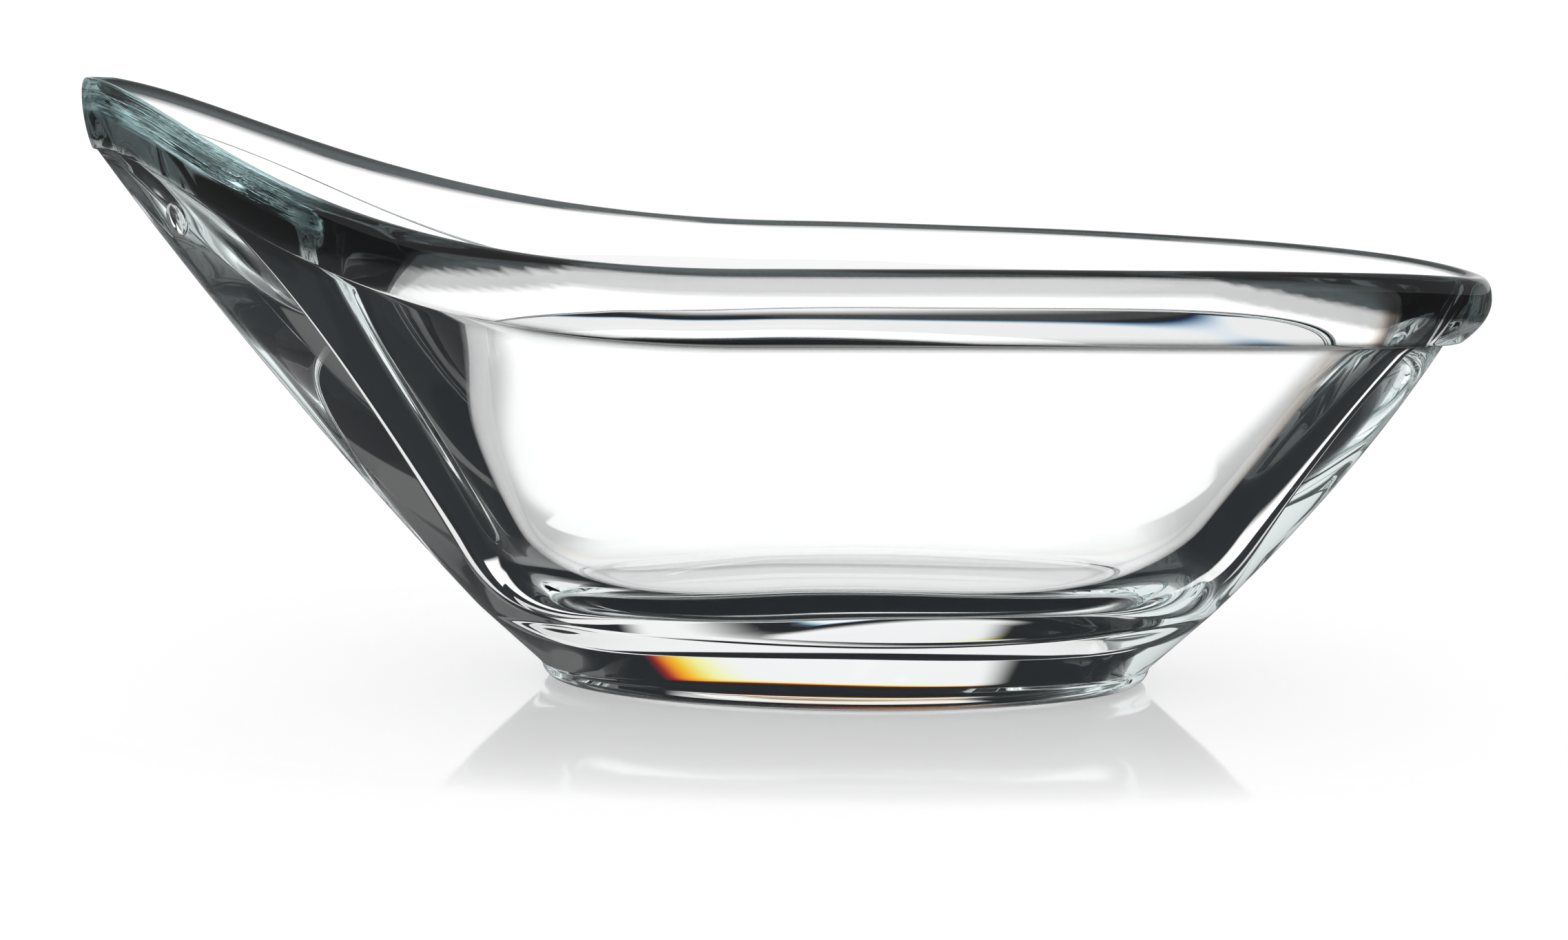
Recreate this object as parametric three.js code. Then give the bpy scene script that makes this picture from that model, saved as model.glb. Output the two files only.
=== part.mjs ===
// A thick clear glass sauce dish: a leaf-shaped bowl whose rim sweeps up into one raised tip,
// standing on a solid oval foot.
// Millimetres, +Z up. X runs along the dish, with the raised tip at -X. Y runs across it.
// The origin lies on the table, below the middle of the rim.
import * as THREE from "three";

const { lerp } = THREE.MathUtils;

// Rim, seen from above: drawn in at both ends, most at the raised tip, and widest nearer the tip.
const RIM_LENGTH = 198.4;
const RIM_WIDTH = 79;
const WIDEST_X = -20;

// Rim, seen from the side: level in the middle, swept up to the tip, falling a little to the low end,
// where its crest dips below the sweep. The dip's power is how late it sets in.
const RIM_HEIGHT = 61.8;
const TIP_HEIGHT = 85;
const END_DROP = 2.4;
const END_DIP = 1.9;
const END_DIP_POWER = 12;
const RISE_LEVEL_RUN = 59;
const TIP_RUN_OUT = 17;
const TIP_FALL = 3.5;

// Lip: a rounded bead round the rim, whose outside leans in to a ledge over the wall.
const RIM_THICKNESS = 5.5;
const TIP_RIM_THICKNESS = 6;
const LIP_HEIGHT = 10.5;
const LIP_LEAN_TIP = 1.4;
const LIP_LEAN_LOW = 4;
const LIP_LEAN_SIDES = 3;
const LIP_LEDGE_TIP = 0.6;
const LIP_LEDGE_LOW = 2.2;
const LIP_LEDGE_SIDES = 0.8;

// Outer wall, which swells a little between the lip and the shoulder above the foot.
const WALL_BULGE = 1.9;
const SHOULDER_LENGTH = 105;
const SHOULDER_WIDTH = 63;
const SHOULDER_X = 9.4;

// Foot: solid, undercut below the shoulder, with a rounded edge round its flat underside.
const FOOT_HEIGHT = 10.7;
const FOOT_LENGTH = 86.5;
const FOOT_WIDTH = 51;
const FOOT_EDGE = 2.2;

// Well: the bowl's own glass under its floor, the walls round its floor, and the height of the round
// between floor and walls.
const WELL_BOTTOM = 2.8;
const TIP_END_WALL = 10;
const LOW_END_WALL = 8;
const SIDE_WALL = 7;
const FLOOR_ROUND = 11;

// Ends of the well: the share of their way out that they lean evenly, and how late the rest flares
// out to the rim.
const TIP_LEAN = 0.66;
const LOW_LEAN = 0.9;
const END_FLARE = 5;

// Shape of the outlines: 1 is an ellipse, less draws its ends in to points and more squares them off.
const ELLIPSE = 1;
const TIP_LEAF = 0.2;
const LOW_LEAF = 0.9;
const LEAF_POWER = 2;

// The well is squared off at its floor, and how late it turns to the rim's leaf.
const WELL_FULLNESS = 1.15;
const FULLNESS_HOLD = 1.5;

// Facets.
const AROUND = 72;
const FLOOR_STEPS = 6;
const WALL_STEPS = 10;
const CREST_STEPS = 8;
const LIP_STEPS = 5;
const EDGE_STEPS = 4;
const STEP = 0.001;

const HALF_LENGTH = RIM_LENGTH / 2;
const CREST_RADIUS = RIM_THICKNESS / 2;
const FLOOR_HEIGHT = FOOT_HEIGHT + WELL_BOTTOM;

// Plan outlines, as the ends along X, the half-width, the widest station and the shapes of the two ends.
const rimOuter = {
  left: -HALF_LENGTH,
  right: HALF_LENGTH,
  half: RIM_WIDTH / 2,
  widest: WIDEST_X,
  tipShape: TIP_LEAF,
  lowShape: LOW_LEAF,
};
const rimInner = inset(rimOuter, TIP_RIM_THICKNESS, TIP_RIM_THICKNESS, RIM_THICKNESS);
const lipFoot = inset(rimOuter, LIP_LEAN_TIP, LIP_LEAN_LOW, LIP_LEAN_SIDES);
const wallTop = inset(lipFoot, LIP_LEDGE_TIP, LIP_LEDGE_LOW, LIP_LEDGE_SIDES);
const shoulder = {
  left: SHOULDER_X - SHOULDER_LENGTH / 2,
  right: SHOULDER_X + SHOULDER_LENGTH / 2,
  half: SHOULDER_WIDTH / 2,
  widest: SHOULDER_X,
  tipShape: ELLIPSE,
  lowShape: ELLIPSE,
};
const footSide = {
  ...shoulder,
  left: SHOULDER_X - FOOT_LENGTH / 2,
  right: SHOULDER_X + FOOT_LENGTH / 2,
  half: FOOT_WIDTH / 2,
};
const wellFloor = {
  ...inset(shoulder, TIP_END_WALL, LOW_END_WALL, SIDE_WALL),
  tipShape: WELL_FULLNESS,
  lowShape: WELL_FULLNESS,
};

// The outline drawn in by a distance at its tip end, its low end and its sides.
function inset(outline, tipEnd, lowEnd, sides) {
  return {
    ...outline,
    left: outline.left + tipEnd,
    right: outline.right - lowEnd,
    half: outline.half - sides,
  };
}

// The outline a share of the way from one outline to another.
function between(from, to, share) {
  const mixed = {};
  for (const key of Object.keys(from)) mixed[key] = lerp(from[key], to[key], share);
  return mixed;
}

// The point of an outline at an angle, counted from the low end.
function planPoint(outline, angle) {
  const middle = (outline.left + outline.right) / 2;
  const reach = (outline.right - outline.left) / 2;
  const side = Math.sin(angle);
  const shift = (middle - outline.widest) * side * side;
  const shape = Math.cos(angle) < 0 ? outline.tipShape : outline.lowShape;
  const fullness = lerp(shape, 1, Math.abs(side) ** LEAF_POWER);
  return new THREE.Vector2(middle + reach * Math.cos(angle) - shift, outline.half * side * fullness);
}

// The sweep of the rim from the middle of the dish up to the crest of the raised tip.
const tipCrestX = -HALF_LENGTH + TIP_RIM_THICKNESS / 2;
const rimSweep = new THREE.CubicBezierCurve(
  new THREE.Vector2(0, RIM_HEIGHT),
  new THREE.Vector2(-RISE_LEVEL_RUN, RIM_HEIGHT),
  new THREE.Vector2(tipCrestX + TIP_RUN_OUT, TIP_HEIGHT - TIP_FALL),
  new THREE.Vector2(tipCrestX, TIP_HEIGHT),
);

// Height of the rim's even sweep at a place along the dish. Towards the tip it is searched by halving,
// and past its end it stays at the tip's height.
function sweepHeight(x) {
  if (x >= 0) return RIM_HEIGHT - END_DROP * (x / HALF_LENGTH) ** 2;
  let low = 0;
  let high = 1;
  while (high - low > 1e-9) {
    const middle = (low + high) / 2;
    if (rimSweep.getPoint(middle).x > x) low = middle;
    else high = middle;
  }
  return rimSweep.getPoint(low).y;
}

// Height at which the crest's round ends on an outline at an angle.
function rimSide(outline, angle) {
  const { x } = planPoint(outline, angle);
  const dip = END_DIP * Math.max(x / HALF_LENGTH, 0) ** END_DIP_POWER;
  return sweepHeight(x) - dip - CREST_RADIUS;
}

// One closed row of points: pointAt gives the point at each angle round the dish.
function ring(pointAt) {
  return Array.from({ length: AROUND }, (_, i) => pointAt((2 * Math.PI * i) / AROUND));
}

// A row of points on one outline, all at one height.
function levelRing(outline, height) {
  return ring((angle) => {
    const p = planPoint(outline, angle);
    return new THREE.Vector3(p.x, p.y, height);
  });
}

// Shares from just past 0 up to 1.
function shares(steps) {
  return Array.from({ length: steps }, (_, i) => (i + 1) / steps);
}

// A closed skin over rows of points, which starts and ends in a single point.
function skin(start, rings, end) {
  const points = [start, ...rings.flat(), end];
  const at = (row, i) => 1 + row * AROUND + (i % AROUND);
  const faces = [];
  const last = rings.length - 1;
  for (let i = 0; i < AROUND; i++) {
    faces.push(0, at(0, i), at(0, i + 1));
    for (let row = 0; row < last; row++) {
      faces.push(at(row, i), at(row + 1, i), at(row + 1, i + 1));
      faces.push(at(row, i), at(row + 1, i + 1), at(row, i + 1));
    }
    faces.push(points.length - 1, at(last, i + 1), at(last, i));
  }
  const geometry = new THREE.BufferGeometry().setFromPoints(points);
  geometry.setIndex(faces);
  geometry.computeVertexNormals();
  return geometry;
}

// The well's outline a share of the way from its floor up to the rim.
function wellOutline(share) {
  const flared = (lean) => between(wellFloor, rimInner, lerp(share ** END_FLARE, share, lean));
  const { tipShape, lowShape } = between(wellFloor, rimInner, share ** FULLNESS_HOLD);
  return {
    ...between(wellFloor, rimInner, share),
    left: flared(TIP_LEAN).left,
    right: flared(LOW_LEAN).right,
    tipShape,
    lowShape,
  };
}

// Height of the top of the well's wall at an angle, where the crest begins.
function wellTop(angle) {
  return rimSide(rimInner, angle);
}

// A point of the well's wall, a share of the way from the floor's height up to the crest.
function wellPoint(angle, share) {
  const p = planPoint(wellOutline(share), angle);
  return new THREE.Vector3(p.x, p.y, lerp(FLOOR_HEIGHT, wellTop(angle), share));
}

// The way the well's wall leaves a share of its height, as a short step up it.
function wellStep(angle, share) {
  return wellPoint(angle, share + STEP).sub(wellPoint(angle, share));
}

const wellCentre = new THREE.Vector3((wellFloor.left + wellFloor.right) / 2, 0, FLOOR_HEIGHT);

// The well's floor, rounded up into its wall, then the wall up to the crest.
function wellRings() {
  const wallShare = (angle) => FLOOR_ROUND / (wellTop(angle) - FLOOR_HEIGHT);
  const floorRound = (angle) => {
    const onWall = wellPoint(angle, wallShare(angle));
    const step = wellStep(angle, wallShare(angle));
    const corner = onWall.clone().addScaledVector(step, -FLOOR_ROUND / step.z);
    const onFloor = wellCentre.clone().sub(corner).setLength(FLOOR_ROUND).add(corner);
    return new THREE.QuadraticBezierCurve3(onFloor, corner, onWall);
  };
  const floor = [0, ...shares(FLOOR_STEPS)].map((s) => ring((angle) => floorRound(angle).getPoint(s)));
  const wall = shares(WALL_STEPS).map((s) =>
    ring((angle) => wellPoint(angle, lerp(wallShare(angle), 1, s))),
  );
  return [...floor, ...wall];
}

// The rounded crest, which leaves the well's wall smoothly and turns down to the lip's outside.
// Its second handle is set so that the crest stands about one radius high however the wall leans.
function crestRings() {
  const crest = (angle) => {
    const inside = wellPoint(angle, 1);
    const p = planPoint(rimOuter, angle);
    const outside = new THREE.Vector3(p.x, p.y, rimSide(rimOuter, angle));
    const leave = wellStep(angle, 1 - STEP).setLength((4 / 3) * CREST_RADIUS);
    const arrive = new THREE.Vector3(0, 0, (9 / 4) * CREST_RADIUS - (11 / 16) * leave.z);
    return new THREE.CubicBezierCurve3(inside, leave.add(inside), arrive.add(outside), outside);
  };
  return shares(CREST_STEPS).map((s) => ring((angle) => crest(angle).getPoint(s)));
}

// Height of the lip's underside at an angle, which keeps to the even sweep.
function lipBottom(angle) {
  return sweepHeight(planPoint(rimOuter, angle).x) - LIP_HEIGHT;
}

// The lip's rounded outside, down to its underside, and the ledge in to the wall.
function lipRings() {
  const outside = shares(LIP_STEPS).map((s) =>
    ring((angle) => {
      const p = planPoint(between(rimOuter, lipFoot, s * s), angle);
      return new THREE.Vector3(p.x, p.y, lerp(rimSide(rimOuter, angle), lipBottom(angle), s));
    }),
  );
  const ledge = ring((angle) => {
    const p = planPoint(wallTop, angle);
    return new THREE.Vector3(p.x, p.y, lipBottom(angle));
  });
  return [...outside, ledge];
}

// The outer wall, from the ledge under the lip down to the shoulder.
function wallRings() {
  return shares(WALL_STEPS).map((s) => {
    const swell = -WALL_BULGE * 4 * s * (1 - s);
    const outline = inset(between(wallTop, shoulder, s), swell, swell, swell);
    return ring((angle) => {
      const p = planPoint(outline, angle);
      return new THREE.Vector3(p.x, p.y, lerp(lipBottom(angle), FOOT_HEIGHT, s));
    });
  });
}

const shoulderCentre = new THREE.Vector3(SHOULDER_X, 0, FOOT_HEIGHT);

function bowlGeometry() {
  const rings = [...wellRings(), ...crestRings(), ...lipRings(), ...wallRings()];
  return skin(wellCentre, rings, shoulderCentre);
}

// The foot, from the shoulder down its undercut side and round its edge to the flat underside.
function footGeometry() {
  const edge = [0, ...shares(EDGE_STEPS)].map((s) => {
    const turn = (Math.PI / 2) * s;
    const drawnIn = FOOT_EDGE * (1 - Math.cos(turn));
    return levelRing(inset(footSide, drawnIn, drawnIn, drawnIn), FOOT_EDGE * (1 - Math.sin(turn)));
  });
  const rings = [levelRing(shoulder, FOOT_HEIGHT), ...edge];
  return skin(shoulderCentre, rings, new THREE.Vector3(SHOULDER_X, 0, 0));
}

function clearGlass() {
  return new THREE.MeshStandardMaterial({
    color: 0xe4efee,
    roughness: 0.03,
    metalness: 0,
    transparent: true,
    opacity: 0.35,
  });
}

function glassPiece(name, geometry) {
  const mesh = new THREE.Mesh(geometry, clearGlass());
  mesh.name = name;
  return mesh;
}

const dish = new THREE.Group();
dish.add(glassPiece("bowl", bowlGeometry()));
dish.add(glassPiece("foot", footGeometry()));

export default dish;
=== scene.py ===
"""The looks of a clear glass sauce dish, in metres, in the frame of the CAD part."""
import math

import bpy
import numpy as np
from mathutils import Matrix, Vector, noise


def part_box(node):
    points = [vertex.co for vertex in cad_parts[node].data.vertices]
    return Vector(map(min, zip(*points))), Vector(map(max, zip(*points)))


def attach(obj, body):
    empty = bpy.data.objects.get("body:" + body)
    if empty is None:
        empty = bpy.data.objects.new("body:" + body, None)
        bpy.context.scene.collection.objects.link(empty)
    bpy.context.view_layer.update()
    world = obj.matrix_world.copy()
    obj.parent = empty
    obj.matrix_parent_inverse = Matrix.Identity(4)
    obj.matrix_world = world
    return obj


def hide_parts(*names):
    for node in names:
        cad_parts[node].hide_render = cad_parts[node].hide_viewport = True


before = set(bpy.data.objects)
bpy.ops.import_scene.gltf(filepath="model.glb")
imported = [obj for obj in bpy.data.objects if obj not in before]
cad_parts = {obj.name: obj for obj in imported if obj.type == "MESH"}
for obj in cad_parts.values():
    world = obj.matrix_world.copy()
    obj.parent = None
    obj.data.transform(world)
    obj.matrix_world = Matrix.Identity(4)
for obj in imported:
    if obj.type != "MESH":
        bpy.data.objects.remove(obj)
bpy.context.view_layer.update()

MM = 0.001

# Sizes that the frame gives
bowl_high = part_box("bowl")[1]
foot_low, foot_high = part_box("foot")
HALF_LENGTH = bowl_high[0]
RIM_HALF = bowl_high[1]
FOOT_HEIGHT = foot_high[2]
SHOULDER_HALF = foot_high[1]
SHOULDER_X = (foot_low[0] + foot_high[0]) / 2

# Rim: its widest station, its level, its raised tip, and how far it falls and dips at the low end.
# The dip's power is how late it sets in.
WIDEST_X = -20 * MM
RIM_HEIGHT = 61.8 * MM
TIP_HEIGHT = 85 * MM
END_DROP = 2.4 * MM
END_DIP = 1.9 * MM
END_DIP_POWER = 12

# Sweep up to the tip: the handle that keeps its start level, and the run and fall of the handle at the tip
RISE_LEVEL_RUN = 59 * MM
TIP_RUN_OUT = 17 * MM
TIP_FALL = 3.5 * MM

# Lip: its thickness and height, and how far it leans in and steps in at its ledge, at its ends and sides
RIM_THICKNESS = 5.5 * MM
TIP_RIM_THICKNESS = 6 * MM
LIP_HEIGHT = 10.5 * MM
LIP_LEAN_TIP = 1.4 * MM
LIP_LEAN_LOW = 4 * MM
LIP_LEAN_SIDES = 3 * MM
LIP_LEDGE_TIP = 0.6 * MM
LIP_LEDGE_LOW = 2.2 * MM
LIP_LEDGE_SIDES = 0.8 * MM
LEDGE_ROUND = 0.3 * MM

# Wall and foot
WALL_BULGE = 1.9 * MM
SHOULDER_ROUND = 0.9 * MM
FOOT_HALF_LENGTH = 43.25 * MM
FOOT_HALF_WIDTH = 25.5 * MM
FOOT_EDGE = 2.2 * MM
FOOT_ROUND = 0.8 * MM

# Well: its floor's height above the foot's top, the glass around the floor and the floor's round. An end
# wall with a lean of 1 is straight, and one with less flares out late, by the flare's power. The fullness is
# the outline's shape at the floor, and its hold is how late that gives way to the rim's shape.
WELL_BOTTOM = 2.8 * MM
TIP_END_WALL = 10 * MM
LOW_END_WALL = 8 * MM
SIDE_WALL = 7 * MM
FLOOR_ROUND = 11 * MM
TIP_LEAN = 0.66
LOW_LEAN = 0.9
END_FLARE = 5
WELL_FULLNESS = 1.15
FULLNESS_HOLD = 1.5

# Shape of the outlines: 1 is an ellipse, less draws its ends in to points and more squares them off
ELLIPSE = 1
TIP_LEAF = 0.2
LOW_LEAF = 0.9
LEAF_POWER = 2

CREST_RADIUS = RIM_THICKNESS / 2
FLOOR_HEIGHT = FOOT_HEIGHT + WELL_BOTTOM

# Fineness of the glass mesh: points in a row, rows or their shares in each stretch of the profile, the step
# that finds a wall's slope, and the steps of the rim's sweep
AROUND = 360
DETAIL = 3
FLOOR_ROWS = 3 * DETAIL
FLOOR_ROUND_ROWS = 6 * DETAIL
WELL_WALL_ROWS = 12 * DETAIL
CREST_ROWS = 6 * DETAIL
LIP_ROWS = 5 * DETAIL
LEDGE_ROWS = DETAIL
WALL_ROWS = 12 * DETAIL
SHOULDER_ROWS = 2 * DETAIL
FOOT_SIDE_SHARES = (0.3, 0.6, 0.85)
FOOT_ROUND_ROWS = DETAIL
FOOT_EDGE_ROWS = 3 * DETAIL
UNDERSIDE_SHARES = (0.2, 0.6)
SLOPE_STEP = 1.01
SWEEP_STEPS = 2000

angles = np.arange(AROUND) * (2 * math.pi / AROUND)

# Places of an outline's values
LEFT = 0
RIGHT = 1
SHAPES = slice(4, 6)


def outline(left, right, half, widest, tip_shape, low_shape):
    """A plan outline: its ends along X, half-width, widest station and the shapes of its two ends."""
    return np.array([left, right, half, widest, tip_shape, low_shape], float)[:, None]


def inset(line, tip_end, low_end, sides):
    """The outline drawn in by a distance at its tip end, its low end and its sides."""
    return line + outline(tip_end, -low_end, -sides, 0, 0, 0)


def between(start, end, share):
    """What lies a share of the way from one outline, or row of points, to another."""
    return start + (end - start) * share


def bent(start, corner, end, share):
    """What lies a share of the way along a curve that leaves and arrives in line with a corner."""
    return between(between(start, corner, share), between(corner, end, share), share)


def plan_points(line):
    """The outline's points at all angles, counted from the low end."""
    left, right, half, widest, tip_shape, low_shape = line
    middle = (left + right) / 2
    reach = (right - left) / 2
    side = np.sin(angles)
    shape = np.where(np.cos(angles) < 0, tip_shape, low_shape)
    x = middle + reach * np.cos(angles) - (middle - widest) * side**2
    y = half * side * (shape + (1 - shape) * np.abs(side) ** LEAF_POWER)
    return x, y


def row(line, height):
    """One closed row of points on an outline."""
    x, y = plan_points(line)
    return np.stack([x, y, np.broadcast_to(height, x.shape)], axis=1)


def shares(steps):
    """Shares from just past 0 up to 1."""
    return [(i + 1) / steps for i in range(steps)]


def lengths(vectors):
    return np.linalg.norm(vectors, axis=1, keepdims=True)


def towards(corner, target, distance):
    """The row a distance away from a corner, on the way to a target."""
    return corner + (target - corner) * distance / lengths(target - corner)


def rounded(before, corner, after, radius, steps):
    """Rows that round the corner between two runs of the profile."""
    start = towards(corner, before, radius)
    end = towards(corner, after, radius)
    return [bent(start, corner, end, s) for s in [0, *shares(steps)]]


rim_outer = outline(-HALF_LENGTH, HALF_LENGTH, RIM_HALF, WIDEST_X, TIP_LEAF, LOW_LEAF)
rim_inner = inset(rim_outer, TIP_RIM_THICKNESS, TIP_RIM_THICKNESS, RIM_THICKNESS)
lip_foot = inset(rim_outer, LIP_LEAN_TIP, LIP_LEAN_LOW, LIP_LEAN_SIDES)
wall_top = inset(lip_foot, LIP_LEDGE_TIP, LIP_LEDGE_LOW, LIP_LEDGE_SIDES)
shoulder = outline(foot_low[0], foot_high[0], SHOULDER_HALF, SHOULDER_X, ELLIPSE, ELLIPSE)
foot_left = SHOULDER_X - FOOT_HALF_LENGTH
foot_right = SHOULDER_X + FOOT_HALF_LENGTH
foot_side = outline(foot_left, foot_right, FOOT_HALF_WIDTH, SHOULDER_X, ELLIPSE, ELLIPSE)
well_floor = inset(shoulder, TIP_END_WALL, LOW_END_WALL, SIDE_WALL)

# The sweep of the rim, a cubic curve from the middle of the dish up to the crest of the raised tip
tip_crest_x = -HALF_LENGTH + TIP_RIM_THICKNESS / 2
sweep_x = (0, -RISE_LEVEL_RUN, tip_crest_x + TIP_RUN_OUT, tip_crest_x)
sweep_z = (RIM_HEIGHT, RIM_HEIGHT, TIP_HEIGHT - TIP_FALL, TIP_HEIGHT)
sweep_t = np.linspace(1, 0, SWEEP_STEPS)
sweep_left = 1 - sweep_t
sweep_weights = (sweep_left**3, 3 * sweep_left**2 * sweep_t, 3 * sweep_left * sweep_t**2, sweep_t**3)
sweep_line_x = sum(w * x for w, x in zip(sweep_weights, sweep_x))
sweep_line_z = sum(w * z for w, z in zip(sweep_weights, sweep_z))


def rim_sweep(x):
    """Height of the rim's even sweep at places along the dish."""
    low_side = RIM_HEIGHT - END_DROP * (x / HALF_LENGTH) ** 2
    return np.where(x >= 0, low_side, np.interp(x, sweep_line_x, sweep_line_z))


def crest_height(x):
    """Height of the rim's crest at places along the dish, which dips below the sweep at the low end."""
    return rim_sweep(x) - END_DIP * np.maximum(x / HALF_LENGTH, 0) ** END_DIP_POWER


def rim_side(line):
    """Height at which the crest's round ends on an outline."""
    return crest_height(plan_points(line)[0]) - CREST_RADIUS


well_top = rim_side(rim_inner)
lip_top = rim_side(rim_outer)
lip_bottom = rim_sweep(plan_points(rim_outer)[0]) - LIP_HEIGHT


def well_row(share):
    """A row of the well's wall, a share of the way from the floor's edge up to the rim."""
    line = between(well_floor, rim_inner, share)
    flare = share**END_FLARE
    line[LEFT] = between(well_floor[LEFT], rim_inner[LEFT], between(flare, share, TIP_LEAN))
    line[RIGHT] = between(well_floor[RIGHT], rim_inner[RIGHT], between(flare, share, LOW_LEAN))
    line[SHAPES] = between(WELL_FULLNESS, rim_inner[SHAPES], share**FULLNESS_HOLD)
    return row(line, between(FLOOR_HEIGHT, well_top, share))


def well_rows():
    """The well's floor, the round up into its wall, and the wall up to the rim."""
    centre = np.array([[(well_floor[LEFT, 0] + well_floor[RIGHT, 0]) / 2, 0, FLOOR_HEIGHT]])
    wall_start = FLOOR_ROUND / (well_top - FLOOR_HEIGHT)
    end = well_row(wall_start)
    slope = well_row(wall_start * SLOPE_STEP) - end
    corner = end - slope * FLOOR_ROUND / slope[:, 2:]
    start = towards(corner, centre, FLOOR_ROUND)
    floor = [between(centre, start, s) for s in shares(FLOOR_ROWS)]
    bend = [bent(start, corner, end, s) for s in shares(FLOOR_ROUND_ROWS)]
    wall = [well_row(between(wall_start, 1, s)) for s in shares(WELL_WALL_ROWS)]
    return centre[0], floor + bend + wall


def crest_rows(wall):
    """The rounded crest, which leaves the well's wall smoothly and turns down to the lip's outside.

    Its second handle is set so that the crest stands about one radius high however the wall leans.
    """
    start = wall[-1]
    end = row(rim_outer, lip_top)
    leave = (wall[-1] - wall[-2]) * (4 / 3 * CREST_RADIUS) / lengths(wall[-1] - wall[-2])
    arrive = np.zeros_like(end)
    arrive[:, 2] = 9 / 4 * CREST_RADIUS - 11 / 16 * leave[:, 2]
    first = start + leave
    second = end + arrive
    rows = []
    for s in shares(CREST_ROWS):
        rows.append(between(bent(start, first, second, s), bent(first, second, end, s), s))
    return rows


def wall_row(share):
    """A row of the outer wall, a share of the way from the ledge down to the shoulder, swelling between."""
    swell = -WALL_BULGE * 4 * share * (1 - share)
    line = inset(between(wall_top, shoulder, share), swell, swell, swell)
    return row(line, between(lip_bottom, FOOT_HEIGHT, share))


def outer_rows():
    """The lip's outside, its ledge, the wall and the shoulder."""
    lip = []
    for s in shares(LIP_ROWS):
        lip.append(row(between(rim_outer, lip_foot, s * s), between(lip_top, lip_bottom, s)))
    edge = lip.pop()
    ledge = row(wall_top, lip_bottom)
    wall = [wall_row(s) for s in shares(WALL_ROWS)[:-1]]
    lip += rounded(lip[-1], edge, ledge, LEDGE_ROUND, LEDGE_ROWS)
    lip += rounded(edge, ledge, wall[0], LEDGE_ROUND, LEDGE_ROWS)
    turning = row(shoulder, FOOT_HEIGHT)
    undercut_end = row(foot_side, FOOT_EDGE)
    return lip + wall + rounded(wall[-1], turning, undercut_end, SHOULDER_ROUND, SHOULDER_ROWS)


def foot_rows():
    """The foot's undercut side, its rounded edge and its flat underside."""
    undercut_top = row(shoulder, FOOT_HEIGHT)
    undercut_end = row(foot_side, FOOT_EDGE)
    edge = []
    for s in shares(FOOT_EDGE_ROWS):
        drawn_in = FOOT_EDGE * (1 - math.cos(s * math.pi / 2))
        height = FOOT_EDGE * (1 - math.sin(s * math.pi / 2))
        edge.append(row(inset(foot_side, drawn_in, drawn_in, drawn_in), height))
    # The round between side and edge takes the place of the edge's first two rows
    bend = rounded(undercut_top, undercut_end, edge[1], FOOT_ROUND, FOOT_ROUND_ROWS)
    side = [between(undercut_top, bend[0], s) for s in FOOT_SIDE_SHARES]
    centre = np.array([SHOULDER_X, 0, 0])
    under = [between(edge[-1], centre, s) for s in UNDERSIDE_SHARES]
    return side + bend + edge[2:] + under, centre


def shell(start, rows, end):
    """Points and faces of a closed skin over rows of points, which starts and ends in a single point."""
    points = np.concatenate([start[None], *rows, end[None]])
    around = len(rows[0])
    last = 1 + (len(rows) - 1) * around
    faces = []
    for i in range(around):
        j = (i + 1) % around
        faces.append((0, 1 + i, 1 + j))
        for base in range(1, last, around):
            faces.append((base + i, base + around + i, base + around + j, base + j))
        faces.append((len(points) - 1, last + j, last + i))
    return points, faces


# An air bubble caught in the glass under the raised tip
BUBBLE_AT = np.array([-83 * MM, -11.5 * MM, 65.5 * MM])
BUBBLE_RADII = np.array([1.4 * MM, 1.2 * MM, 2.6 * MM])
BUBBLE_LEAN = math.radians(-20)
BUBBLE_AROUND = 24
BUBBLE_ROWS = 11


def bubble():
    """A closed void, whose faces look inwards because its rows run from the bottom up."""
    turn = np.arange(BUBBLE_AROUND) * (2 * math.pi / BUBBLE_AROUND)
    ring = np.stack([np.cos(turn), np.sin(turn), np.zeros_like(turn)], axis=1)
    top = np.array([0, 0, 1.0])
    rows = []
    for i in range(1, BUBBLE_ROWS + 1):
        rise = math.pi * i / (BUBBLE_ROWS + 1) - math.pi / 2
        rows.append(ring * math.cos(rise) + top * math.sin(rise))
    points, faces = shell(-top, rows, top)
    x, y, z = (points * BUBBLE_RADII).T
    leaning = [
        x * math.cos(BUBBLE_LEAN) + z * math.sin(BUBBLE_LEAN),
        y,
        z * math.cos(BUBBLE_LEAN) - x * math.sin(BUBBLE_LEAN),
    ]
    return BUBBLE_AT + np.stack(leaning, axis=1), faces


# Hand-worked glass is never quite true, so its walls wander a little
WANDER = 0.12 * MM
WANDER_SIZE = 28 * MM


def wander(mesh):
    """Moves the dish's surface in and out a little, but for the foot's edge and the flat underside."""
    normals = [vertex.normal.copy() for vertex in mesh.vertices]
    for vertex, normal in zip(mesh.vertices, normals):
        if vertex.co.z > FOOT_EDGE:
            vertex.co += normal * WANDER * noise.noise(vertex.co / WANDER_SIZE)


# The outside's front ends this far behind the middle of the dish
FRONT_SIDE = 3 * MM

# Dark line of painted shade on the rim: how far it reaches down from the crest, on the front in the middle
# of the dish and at its ends, and on the inside and the back. It grows between two stations towards each
# end, and fades between two shares of its reach.
EDGE_REACH = 1.1 * MM
EDGE_REACH_TIP = 10 * MM
EDGE_REACH_LOW = 6.5 * MM
EDGE_REACH_BACK = 0.8 * MM
EDGE_REACH_BACK_TIP = 2.1 * MM
EDGE_GROWS_TIP = -24 * MM, -66 * MM
EDGE_GROWS_LOW = 60 * MM, 88 * MM
EDGE_FULL = 0.9
EDGE_GONE = 1.3

# Grey of painted shade below the dark line on the front: its strength, how far down it goes on and where it
# is gone
GREY_SHARE = 0.7
GREY_REACH = 2 * MM
GREY_GONE = 2.6 * MM
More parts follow.
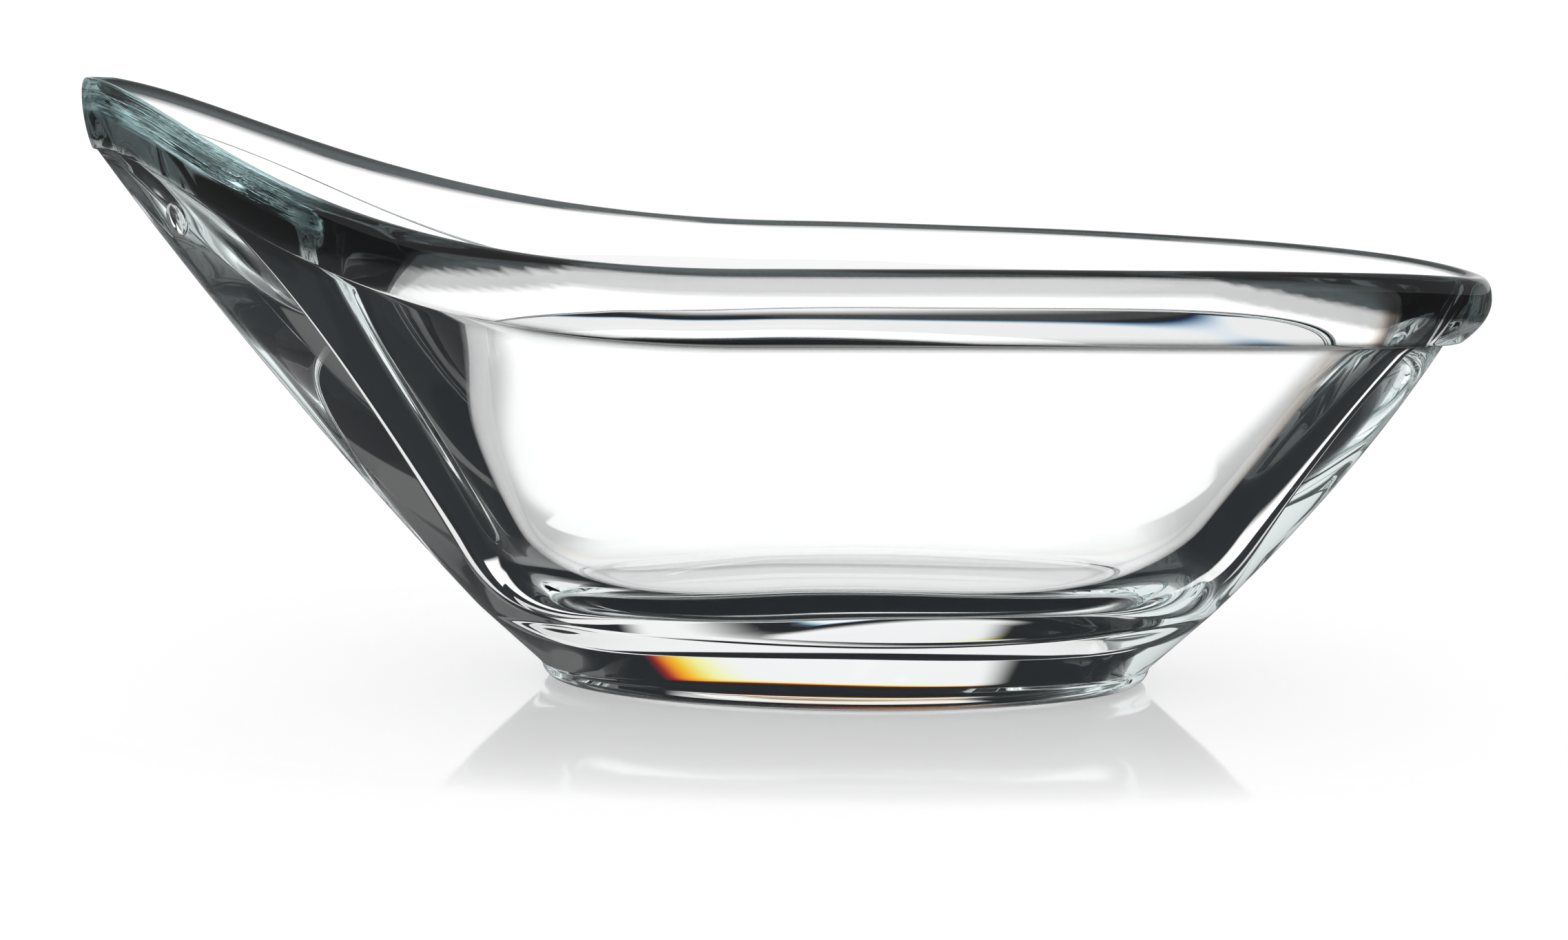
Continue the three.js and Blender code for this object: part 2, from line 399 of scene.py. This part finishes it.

# Dark line of painted shade along the front's ledge: its strength, its half-width, where it is gone and
# where it sets in
LEDGE_LINE_SHARE = 0.93
LEDGE_LINE = 0.6 * MM
LEDGE_LINE_GONE = 1.2 * MM
LEDGE_LINE_FROM = -50 * MM
LEDGE_LINE_FULL = -30 * MM

# Streaks along the lip's outside at the raised tip, teal as deep glass is, the dark ones painted shade:
# where along they set in, how far down they fade and are gone, and where and how much they dim towards the
# very tip
STREAKS_FROM = -58 * MM
STREAKS_FULL = -72 * MM
STREAKS_FADE = 4.4 * MM
STREAKS_REACH = 5.5 * MM
STREAKS_DIM_FROM = -84 * MM
STREAKS_DIM_FULL = -95 * MM
STREAKS_DIM = 0.8

# Worn ring on which the foot stands
RING_WIDTH = 1.5 * MM


def share_between(values, start, end):
    """How far values lie from a start, 0, to an end, 1."""
    return np.clip((values - start) / (end - start), 0, 1)


def painted_rim_shade(x, depth, front):
    """Painted shade of the rim: on its crest, far down the lip's front at both ends, and along the ledge."""
    at_tip = share_between(x, *EDGE_GROWS_TIP)
    at_low_end = share_between(x, *EDGE_GROWS_LOW)
    front_reach = between(between(EDGE_REACH, EDGE_REACH_TIP, at_tip), EDGE_REACH_LOW, at_low_end)
    back_reach = between(EDGE_REACH_BACK, EDGE_REACH_BACK_TIP, at_tip)
    reach = np.where(front, front_reach, back_reach)
    crest = 1 - share_between(depth, EDGE_FULL * reach, EDGE_GONE * reach)
    grey = 1 - share_between(depth - reach, GREY_REACH, GREY_GONE)
    ledge = 1 - share_between(np.abs(depth - LIP_HEIGHT), LEDGE_LINE, LEDGE_LINE_GONE)
    ledge = ledge * share_between(x, LEDGE_LINE_FROM, LEDGE_LINE_FULL)
    return np.maximum(crest, front * np.maximum(grey * GREY_SHARE, ledge * LEDGE_LINE_SHARE))


def streak_marks(x, depth, front):
    """How strong the streaks are."""
    near_crest = 1 - share_between(depth, STREAKS_FADE, STREAKS_REACH)
    dimmed = 1 - STREAKS_DIM * share_between(x, STREAKS_DIM_FROM, STREAKS_DIM_FULL)
    return share_between(x, STREAKS_FROM, STREAKS_FULL) * near_crest * dimmed * front


def standing_marks(x, y, z):
    """How worn the underside is."""
    off_middle = np.hypot((x - SHOULDER_X) / FOOT_HALF_LENGTH * FOOT_HALF_WIDTH, y)
    ring_outside = FOOT_HALF_WIDTH - FOOT_EDGE
    return share_between(off_middle, ring_outside - RING_WIDTH, ring_outside) * (z < FOOT_ROUND)


def surface_marks(rows, inside_count):
    """Painted shade, streaks and wear at the glass's points, and their place along the rim and below its
    crest.
    """
    x, y, z = np.moveaxis(np.stack(rows), 2, 0)
    front = (np.arange(len(rows)) >= inside_count)[:, None] & (y < FRONT_SIDE)
    depth = crest_height(x) - z
    rim = row(rim_outer, 0)
    steps = lengths(np.diff(rim, axis=0, append=rim[:1]))[:, 0]
    return {
        "edge": painted_rim_shade(x, depth, front),
        "streaks": streak_marks(x, depth, front),
        "standing": standing_marks(x, y, z),
        "along": np.broadcast_to(np.cumsum(steps), x.shape),
        "depth": depth,
    }


def make_dish():
    """The dish as one closed mesh with a bubble in it, and with its marks."""
    well_centre, well = well_rows()
    crest = crest_rows(well)
    foot, under_centre = foot_rows()
    rows = well + crest + outer_rows() + foot
    points, faces = shell(well_centre, rows, under_centre)
    bubble_points, bubble_faces = bubble()
    faces += [tuple(len(points) + corner for corner in face) for face in bubble_faces]
    mesh = bpy.data.meshes.new("dish")
    mesh.from_pydata(np.concatenate([points, bubble_points]).tolist(), [], faces)
    mesh.shade_smooth()
    for name, values in surface_marks(rows, len(well) + len(crest) // 2).items():
        plain = np.zeros(len(bubble_points) + 1)
        marks = mesh.attributes.new(name, "FLOAT", "POINT")
        marks.data.foreach_set("value", np.concatenate([[0], values.ravel(), plain]))
    wander(mesh)
    dish = bpy.data.objects.new("dish", mesh)
    bpy.context.scene.collection.objects.link(dish)
    return dish


WHITE = (1, 1, 1, 1)


def new_material(name):
    """A new material, its node tree and its main shader."""
    material = bpy.data.materials.new(name)
    material.use_nodes = True
    tree = material.node_tree
    return material, tree, tree.nodes["Principled BSDF"]


def feed(tree, socket, value):
    """Links a socket to another one, or gives it a plain value."""
    if isinstance(value, bpy.types.NodeSocket):
        tree.links.new(value, socket)
    else:
        socket.default_value = value


def maths(tree, operation, *values):
    node = tree.nodes.new("ShaderNodeMath")
    node.operation = operation
    for socket, value in zip(node.inputs, values):
        feed(tree, socket, value)
    return node.outputs["Value"]


def product(tree, first, *others):
    for other in others:
        first = maths(tree, "MULTIPLY", first, other)
    return first


def greatest(tree, first, *others):
    for other in others:
        first = maths(tree, "MAXIMUM", first, other)
    return first


def opposite(tree, share):
    """What a share leaves of 1."""
    return maths(tree, "SUBTRACT", 1, share)


def apart(tree, value, middle):
    """How far a value lies from a middle, to either side."""
    return maths(tree, "ABSOLUTE", maths(tree, "SUBTRACT", value, middle))


def mix(tree, factor, first, second):
    """A colour between two others."""
    node = tree.nodes.new("ShaderNodeMix")
    node.data_type = "RGBA"
    for name, value in (("Factor", factor), ("A", first), ("B", second)):
        feed(tree, node.inputs[name], value)
    return node.outputs["Result"]


def below(tree, value, limit, soft):
    """1 where a value is below a limit, falling softly to 0 above it."""
    node = tree.nodes.new("ShaderNodeMapRange")
    node.interpolation_type = "SMOOTHSTEP"
    tree.links.new(value, node.inputs["Value"])
    node.inputs["From Min"].default_value = limit
    node.inputs["From Max"].default_value = limit + soft
    node.inputs["To Min"].default_value = 1
    node.inputs["To Max"].default_value = 0
    return node.outputs["Result"]


def within(tree, value, low, high, soft):
    """1 where a value lies between two limits, falling softly to 0 outside them."""
    return maths(tree, "SUBTRACT", below(tree, value, high, soft), below(tree, value, low, soft))


def mark(tree, name):
    node = tree.nodes.new("ShaderNodeAttribute")
    node.attribute_name = name
    return node.outputs["Fac"]


def split_vector(tree, vector):
    node = tree.nodes.new("ShaderNodeSeparateXYZ")
    tree.links.new(vector, node.inputs["Vector"])
    return node.outputs


# Glass: clear, faintly green in depth, with painted shade on the rim, streaks at the tip and a worn foot
# ring
GLASS_IOR = 1.52
ABSORBED = (0.7, 0.93, 0.94, 1)
ABSORPTION_PER_METRE = 1.5
# Colour of the painted shade on the rim
PAINTED_RIM_SHADE = (0.005, 0.007, 0.0075, 1)
STREAK_PAINTED_SHADE = (0.08, 0.18, 0.19, 1)
STREAK_LIGHT = (0.5, 0.95, 0.96, 1)
STREAK_LENGTH = 18 * MM
STREAK_WIDTH = 0.9 * MM
STREAK_DETAIL = 4
STREAK_DISTORTION = 0.6
STREAK_LIGHT_FROM = 0.35
STREAK_LIGHT_SOFT = 0.3
STREAK_BUMP = 0.15 * MM
RING_ROUGHNESS = 0.3


def streak_noise(tree):
    """Noise drawn out along the rim."""
    place = tree.nodes.new("ShaderNodeCombineXYZ")
    feed(tree, place.inputs["X"], maths(tree, "DIVIDE", mark(tree, "along"), STREAK_LENGTH))
    feed(tree, place.inputs["Y"], maths(tree, "DIVIDE", mark(tree, "depth"), STREAK_WIDTH))
    texture = tree.nodes.new("ShaderNodeTexNoise")
    texture.inputs["Scale"].default_value = 1
    texture.inputs["Detail"].default_value = STREAK_DETAIL
    texture.inputs["Distortion"].default_value = STREAK_DISTORTION
    feed(tree, texture.inputs["Vector"], place.outputs["Vector"])
    return opposite(tree, below(tree, texture.outputs["Fac"], STREAK_LIGHT_FROM, STREAK_LIGHT_SOFT))


def glass_inside(tree):
    """The inside of the glass, which takes a little colour out of the light."""
    node = tree.nodes.new("ShaderNodeVolumeAbsorption")
    node.inputs["Color"].default_value = ABSORBED
    node.inputs["Density"].default_value = ABSORPTION_PER_METRE
    return node.outputs["Volume"]


def glass():
    material, tree, shader = new_material("clear_glass")
    streaked = mark(tree, "streaks")
    grain = streak_noise(tree)
    # Painted shade darkens the rim's crest, the grey below it and the ledge line
    rim = mix(tree, mark(tree, "edge"), WHITE, PAINTED_RIM_SHADE)
    # Teal streaks of the glass in depth, the dark ones painted shade, which take the rim's place near the
    # tip's crest
    streaks = mix(tree, grain, STREAK_PAINTED_SHADE, STREAK_LIGHT)
    bump = tree.nodes.new("ShaderNodeBump")
    feed(tree, bump.inputs["Distance"], STREAK_BUMP)
    feed(tree, bump.inputs["Height"], product(tree, streaked, grain))
    feed(tree, shader.inputs["Base Color"], mix(tree, streaked, rim, streaks))
    feed(tree, shader.inputs["Roughness"], product(tree, mark(tree, "standing"), RING_ROUGHNESS))
    feed(tree, shader.inputs["Normal"], bump.outputs["Normal"])
    feed(tree, shader.inputs["IOR"], GLASS_IOR)
    feed(tree, shader.inputs["Transmission Weight"], 1)
    feed(tree, tree.nodes["Material Output"].inputs["Volume"], glass_inside(tree))
    return material


# Stage: a white table in a white room, of which the glass shows only parts, in the dark. Glass that looks
# straight through shows the lit table behind the dish, and glass that turns the light round inside shows the
# dark, or a grey light if it turns it many times.
DARK = (0.017, 0.02, 0.023)
AMBIENT = 1.0

# Light is told apart by two counts: its turns, how often it was mirrored, and its walls, how often it went
# in or out of the glass
IN_AND_OUT = 2
FEW_TURNS = 2
FEW_WALLS = 3
MANY_TURNS = 5
MANY_TURNS_GREY = 0.9
HALF_COUNT = 0.5

# Table: its reach, its gap under the foot, its polish, which fades around the foot, and its own glow
FLOOR_REACH = 4.0
FLOOR_CORNERS = ((-1, -1), (1, -1), (1, 1), (-1, 1))
FLOOR_GAP = 0.05 * MM
FLOOR_ROUGHNESS = 0.05
FLOOR_SHINE = 0.36
SHINE_REACH = 38 * MM
SHINE_SOFT = 42 * MM
FLOOR_GLOW = 0.12
MIRRORED_FLOOR = (0.18, 0.18, 0.18, 1)

# Lit part of the table, as the glass shows it: a wedge across the dish and one past each of its ends
LIT_GLOW = 0.4
LIT_MIDDLE_X = -20 * MM
LIT_HALF_WIDTH = 98 * MM
LIT_HALF_WIDTH_ENDS = 42 * MM
LIT_WIDENING = 0.33
LIT_SOFT = 25 * MM
LIT_FRINGE = 1 * MM
END_WAYS_FROM = 170 * MM

# Shade on the lit table, beyond both ends of the foot
SHADE = 0.4
SHADE_REACH = 52 * MM
SHADE_FROM = 42 * MM
SHADE_SOFT = 22 * MM

# Strips of the table on both sides of the foot, which also show in light that was mirrored once
STRIP_HALF_WIDTH = 70 * MM
STRIP_NEAR = 45 * MM
STRIP_FAR = 150 * MM
STRIP_SOFT = 8 * MM

# What the glass shows above the table: the top of the backdrop, a light over it, a glint and a grey card.
# Their turns are counted from straight across the dish, towards its low end.
NO_LIMIT = -math.pi
BACKDROP_TOP = math.radians(6)
BACKDROP_TURNS = math.radians(-14), math.radians(14)
LIGHT_LOW = math.radians(5)
LIGHT_HIGH = math.radians(17.5)
LIGHT_TURNS = math.radians(-38), math.radians(25)
GLINT_LOW = math.radians(9)
GLINT_HIGH = math.radians(24)
GLINT_TURNS = math.radians(-22), math.radians(12)
GLINT_SOFT = math.radians(5)
GLINT_FRINGE = math.radians(2.2)
CARD_LOW = math.radians(17)
CARD_HIGH = math.radians(31)
CARD_TURNS = math.radians(28), math.radians(95)
CARD_GREY = 0.14
EDGE_SOFT = math.radians(1.5)
EDGE_FRINGE = math.radians(0.12)

# What the outside of the glass mirrors: a white wall behind the dish in a grey room
MIRRORED_TOP = math.radians(25)
MIRRORED_TURNS = NO_LIMIT, math.radians(40)
MIRRORED_ROOM = 0.5

# How far red, green and blue are shifted where light is split
FRINGE_SIDES = (1, 0, -1)


def fringed(tree, shown):
    """A colour whose red, green and blue end at slightly different places, as light split by glass does."""
    colour = tree.nodes.new("ShaderNodeCombineColor")
    for socket, side, dark in zip(colour.inputs, FRINGE_SIDES, DARK):
        feed(tree, socket, greatest(tree, shown(side), dark))
    return colour.outputs["Color"]


def seen_directly(tree, path):
    """1 for what the camera sees and for the plain light on the floor, and 0 for what the glass shows."""
    either = maths(tree, "ADD", path.outputs["Is Camera Ray"], path.outputs["Diffuse Depth"])
    return maths(tree, "MINIMUM", either, 1)


def looks_through(tree, path):
    """1 for light that passed in and out of the glass more often than it was mirrored on the way."""
    limit = maths(tree, "ADD", product(tree, path.outputs["Glossy Depth"], IN_AND_OUT), 1)
    return maths(tree, "GREATER_THAN", path.outputs["Transmission Depth"], limit)


def turned_once(tree, path):
    """1 for light that was mirrored just once."""
    return maths(tree, "COMPARE", path.outputs["Glossy Depth"], 1, HALF_COUNT)


def turned_often(tree, path):
    """A grey for light that was mirrored many times inside the glass."""
    often = maths(tree, "GREATER_THAN", path.outputs["Glossy Depth"], MANY_TURNS)
    return product(tree, often, MANY_TURNS_GREY)


def floor_shade(tree, x, y):
    """How bright the lit table is, with its shade."""
    past_foot = opposite(tree, below(tree, apart(tree, x, SHOULDER_X), SHADE_FROM, SHADE_SOFT))
    close_by = below(tree, apart(tree, y, 0), SHADE_REACH, SHADE_SOFT)
    return opposite(tree, product(tree, past_foot, close_by, SHADE))


def floor_past_ends(tree, x, y):
    """1 on the lit table past both ends of the dish."""
    far = apart(tree, x, 0)
    off_line = maths(tree, "SUBTRACT", apart(tree, y, 0), product(tree, far, LIT_WIDENING))
    far_out = opposite(tree, below(tree, far, END_WAYS_FROM, LIT_SOFT))
    return product(tree, far_out, below(tree, off_line, LIT_HALF_WIDTH_ENDS, LIT_SOFT))


def floor_strips(tree, path, x, y):
    """1 on the strips on both sides of the foot, in light that was mirrored once at most."""
    beside = within(tree, apart(tree, y, 0), STRIP_NEAR, STRIP_FAR, STRIP_SOFT)
    along_foot = below(tree, apart(tree, x, SHOULDER_X), STRIP_HALF_WIDTH, STRIP_SOFT)
    few_turns = maths(tree, "LESS_THAN", path.outputs["Glossy Depth"], FEW_TURNS)
    return product(tree, beside, along_foot, few_turns)


def floor_through_glass(tree, path, x, y):
    """The table as the glass shows it."""
    widened = product(tree, apart(tree, y, 0), LIT_WIDENING)
    off_line = maths(tree, "SUBTRACT", apart(tree, x, LIT_MIDDLE_X), widened)
    shade = floor_shade(tree, x, y)
    past_ends = floor_past_ends(tree, x, y)
    strips = floor_strips(tree, path, x, y)
    straight = looks_through(tree, path)
    often = turned_often(tree, path)

    def lit(side):
        across = below(tree, off_line, LIT_HALF_WIDTH + side * LIT_FRINGE, LIT_SOFT)
        table = greatest(tree, product(tree, across, shade), past_ends)
        return greatest(tree, product(tree, straight, table), strips, often)

    return fringed(tree, lit)


def floor_shine(tree, path, x, y):
    """How much the table mirrors for the camera, which is most around the foot."""
    narrowed = product(tree, apart(tree, x, SHOULDER_X), FOOT_HALF_WIDTH / FOOT_HALF_LENGTH)
    squares = maths(tree, "ADD", product(tree, narrowed, narrowed), product(tree, y, y))
    near_foot = below(tree, maths(tree, "SQRT", squares), SHINE_REACH, SHINE_SOFT)
    return product(tree, path.outputs["Is Camera Ray"], near_foot, FLOOR_SHINE)


def floor_material():
    material, tree, shader = new_material("floor")
    path = tree.nodes.new("ShaderNodeLightPath")
    place = split_vector(tree, tree.nodes.new("ShaderNodeNewGeometry").outputs["Position"])
    x = place["X"]
    y = place["Y"]
    direct = seen_directly(tree, path)
    through = path.outputs["Is Transmission Ray"]
    in_glass = mix(tree, through, MIRRORED_FLOOR, floor_through_glass(tree, path, x, y))
    colour = mix(tree, direct, in_glass, WHITE)
    glow = maths(tree, "ADD", product(tree, through, LIT_GLOW), product(tree, direct, FLOOR_GLOW))
    feed(tree, shader.inputs["Base Color"], colour)
    feed(tree, shader.inputs["Emission Color"], colour)
    feed(tree, shader.inputs["Emission Strength"], glow)
    feed(tree, shader.inputs["Specular IOR Level"], floor_shine(tree, path, x, y))
    feed(tree, shader.inputs["Roughness"], FLOOR_ROUGHNESS)
    return material


def make_floor():
    corners = [(x * FLOOR_REACH, y * FLOOR_REACH, -FLOOR_GAP) for x, y in FLOOR_CORNERS]
    mesh = bpy.data.meshes.new("floor")
    mesh.from_pydata(corners, [], [(0, 1, 2, 3)])
    mesh.materials.append(floor_material())
    floor = bpy.data.objects.new("floor", mesh)
    bpy.context.scene.collection.objects.link(floor)


def patch(tree, rise, low, high, turn, turns, soft):
    """1 in a part of the room between two rises and two turns, falling softly to 0 around it."""
    return product(tree, within(tree, rise, low, high, soft), within(tree, turn, *turns, soft))


def room_mirrored(tree, rise, turn):
    """The room as the outside of the glass mirrors it."""
    wall = patch(tree, rise, NO_LIMIT, MIRRORED_TOP, turn, MIRRORED_TURNS, EDGE_SOFT)
    return greatest(tree, wall, MIRRORED_ROOM)


def room_through_glass(tree, path, rise, turn, end):
    """The room as the glass shows it, from its rises, its turns and the end that they lead to."""
    any_side = maths(tree, "PINGPONG", turn, math.pi / 4)
    to_low_end = product(tree, maths(tree, "PINGPONG", turn, math.pi / 2), end)
    few_walls = maths(tree, "LESS_THAN", path.outputs["Transmission Depth"], FEW_WALLS)
    once = turned_once(tree, path)
    often = turned_often(tree, path)
    straight = looks_through(tree, path)

    def lit(side):
        fringe = side * EDGE_FRINGE
        glint_high = GLINT_HIGH + side * GLINT_FRINGE
        backdrop = patch(tree, rise, NO_LIMIT, BACKDROP_TOP - fringe, any_side, BACKDROP_TURNS, EDGE_SOFT)
        light = patch(tree, rise, LIGHT_LOW, LIGHT_HIGH + fringe, to_low_end, LIGHT_TURNS, EDGE_SOFT)
        glint = patch(tree, rise, GLINT_LOW, glint_high, to_low_end, GLINT_TURNS, GLINT_SOFT)
        card = patch(tree, rise, CARD_LOW, CARD_HIGH, to_low_end, CARD_TURNS, EDGE_SOFT)
        light = product(tree, light, once, few_walls)
        ahead = product(tree, straight, greatest(tree, backdrop, glint))
        return greatest(tree, light, ahead, product(tree, card, CARD_GREY), often)

    return fringed(tree, lit)


def make_world():
    """A room that is white for the camera and as plain light, and dark with a few lights for the glass."""
    world = bpy.data.worlds.new("studio")
    bpy.context.scene.world = world
    world.use_nodes = True
    tree = world.node_tree
    path = tree.nodes.new("ShaderNodeLightPath")
    across, along, up = split_vector(tree, tree.nodes.new("ShaderNodeTexCoord").outputs["Generated"])
    rise = maths(tree, "ARCSINE", up)
    turn = maths(tree, "ABSOLUTE", maths(tree, "ARCTAN2", across, along))
    through = room_through_glass(tree, path, rise, turn, maths(tree, "SIGN", across))
    passed = maths(tree, "MINIMUM", path.outputs["Transmission Depth"], 1)
    in_glass = mix(tree, passed, room_mirrored(tree, rise, turn), through)
    background = tree.nodes["Background"]
    feed(tree, background.inputs["Color"], mix(tree, seen_directly(tree, path), in_glass, WHITE))
    feed(tree, background.inputs["Strength"], AMBIENT)


# Camera
CAMERA_DISTANCE = 554 * MM
CAMERA_HEIGHT = 113.5 * MM
CAMERA_TURN = math.radians(5)
CAMERA_AIM = Vector((0.8 * MM, 0, 29.6 * MM))
CAMERA_LENS = 90.8


def make_camera():
    data = bpy.data.cameras.new("camera")
    data.lens = CAMERA_LENS
    camera = bpy.data.objects.new("camera", data)
    away = Vector((math.sin(CAMERA_TURN), -math.cos(CAMERA_TURN), 0)) * CAMERA_DISTANCE
    camera.location = Vector((CAMERA_AIM.x, CAMERA_AIM.y, CAMERA_HEIGHT)) + away
    camera.rotation_euler = (CAMERA_AIM - camera.location).to_track_quat("-Z", "Y").to_euler()
    bpy.context.scene.collection.objects.link(camera)
    bpy.context.scene.camera = camera


# Bounces that take light through all the walls of the dish
MOST_BOUNCES = 32
GLOSSY_BOUNCES = 24

dish = make_dish()
dish.data.materials.append(glass())
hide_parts("bowl", "foot")
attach(dish, "root")

make_floor()
make_world()
make_camera()

scene = bpy.context.scene
scene.view_settings.view_transform = "Standard"
scene.cycles.max_bounces = MOST_BOUNCES
scene.cycles.transmission_bounces = MOST_BOUNCES
scene.cycles.glossy_bounces = GLOSSY_BOUNCES
